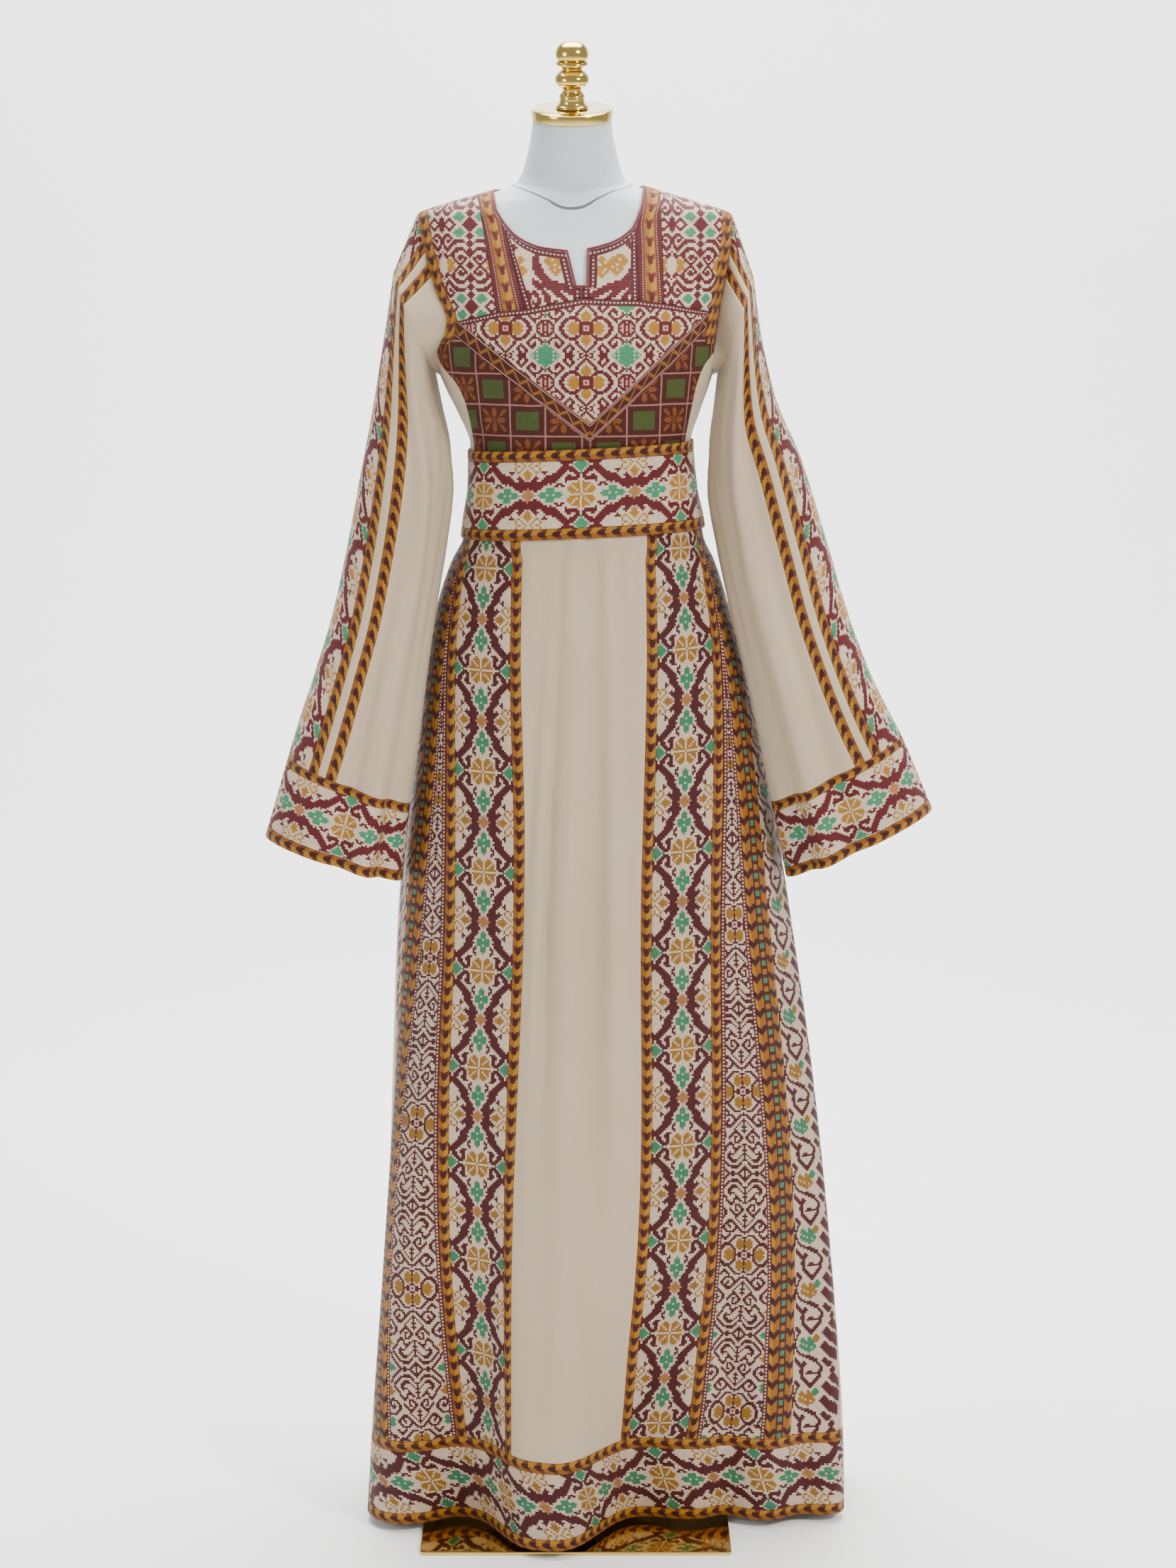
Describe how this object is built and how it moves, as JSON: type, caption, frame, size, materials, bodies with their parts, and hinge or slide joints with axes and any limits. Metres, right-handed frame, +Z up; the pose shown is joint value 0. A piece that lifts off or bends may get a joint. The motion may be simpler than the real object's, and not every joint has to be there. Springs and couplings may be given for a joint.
{
  "type": "embroidered thobe robe on a dress form",
  "caption": "Full-length cream thobe robe with dark red, gold and green cross-stitch bands, bell sleeves and a sash belt, on a white limbless dress form with a brass stand.",
  "frame": {"origin": "on the floor, under the middle of the base plate", "axes": "+Z up, +X to the right as seen from the front, the front faces -Y"},
  "size_m": [0.7511, 0.3737, 1.6907],
  "materials": {
    "cream_cloth": "plain woven cloth with a slight satin sheen",
    "gold_stripe": "gold and dark red cross-stitch",
    "red_embroidery": "dark red, gold and green cross-stitch on cream",
    "lace_embroidery": "fine dark red scroll cross-stitch on cream",
    "brown_embroidery": "dense brown, ochre and olive cross-stitch",
    "binding": "dark red binding",
    "form_cover": "smooth white jersey cover",
    "brass": "polished"
  },
  "bodies": {
    "root": {"armhole_border_left": "gold_stripe", "armhole_border_right": "gold_stripe", "base_plate": "brass", "belt_band": "red_embroidery", "belt_border_lower": "gold_stripe", "belt_border_upper": "gold_stripe", "bodice_back": "cream_cloth", "bodice_side_left": "cream_cloth", "bodice_side_right": "cream_cloth", "cuff_band_left": "red_embroidery", "cuff_band_right": "red_embroidery", "cuff_border_lower_left": "gold_stripe", "cuff_border_lower_right": "gold_stripe", "cuff_border_upper_left": "gold_stripe", "cuff_border_upper_right": "gold_stripe", "finial": "brass", "form_torso": "form_cover", "hem_band": "red_embroidery", "hem_border_lower": "gold_stripe", "hem_border_upper": "gold_stripe", "lower_chest_left": "brown_embroidery", "lower_chest_right": "brown_embroidery", "neck_binding": "binding", "neck_cap": "brass", "neck_stripe_left": "gold_stripe", "neck_stripe_right": "gold_stripe", "neck_yoke_left": "red_embroidery", "neck_yoke_right": "red_embroidery", "pole": "brass", "pole_flange": "brass", "shoulder_panel_left": "lace_embroidery", "shoulder_panel_right": "lace_embroidery", "skirt_back": "cream_cloth", "skirt_band_left": "red_embroidery", "skirt_band_right": "red_embroidery", "skirt_centre": "cream_cloth", "skirt_inner_stripe_left": "gold_stripe", "skirt_inner_stripe_right": "gold_stripe", "skirt_lace_gore_left": "lace_embroidery", "skirt_lace_gore_right": "lace_embroidery", "skirt_outer_stripe_left": "gold_stripe", "skirt_outer_stripe_right": "gold_stripe", "skirt_tile_band_left": "gold_stripe", "skirt_tile_band_right": "gold_stripe", "skirt_vine_band_left": "lace_embroidery", "skirt_vine_band_right": "lace_embroidery", "sleeve_band_left": "red_embroidery", "sleeve_band_right": "red_embroidery", "sleeve_cloth_left": "cream_cloth", "sleeve_cloth_right": "cream_cloth", "sleeve_inner_stripe_left": "gold_stripe", "sleeve_inner_stripe_right": "gold_stripe", "sleeve_outer_stripe_left": "gold_stripe", "sleeve_outer_stripe_right": "gold_stripe", "sleeve_plain_strip_left": "cream_cloth", "sleeve_plain_strip_right": "cream_cloth", "v_border_left": "brown_embroidery", "v_border_right": "brown_embroidery", "v_yoke": "lace_embroidery"}
  },
  "joints": []
}
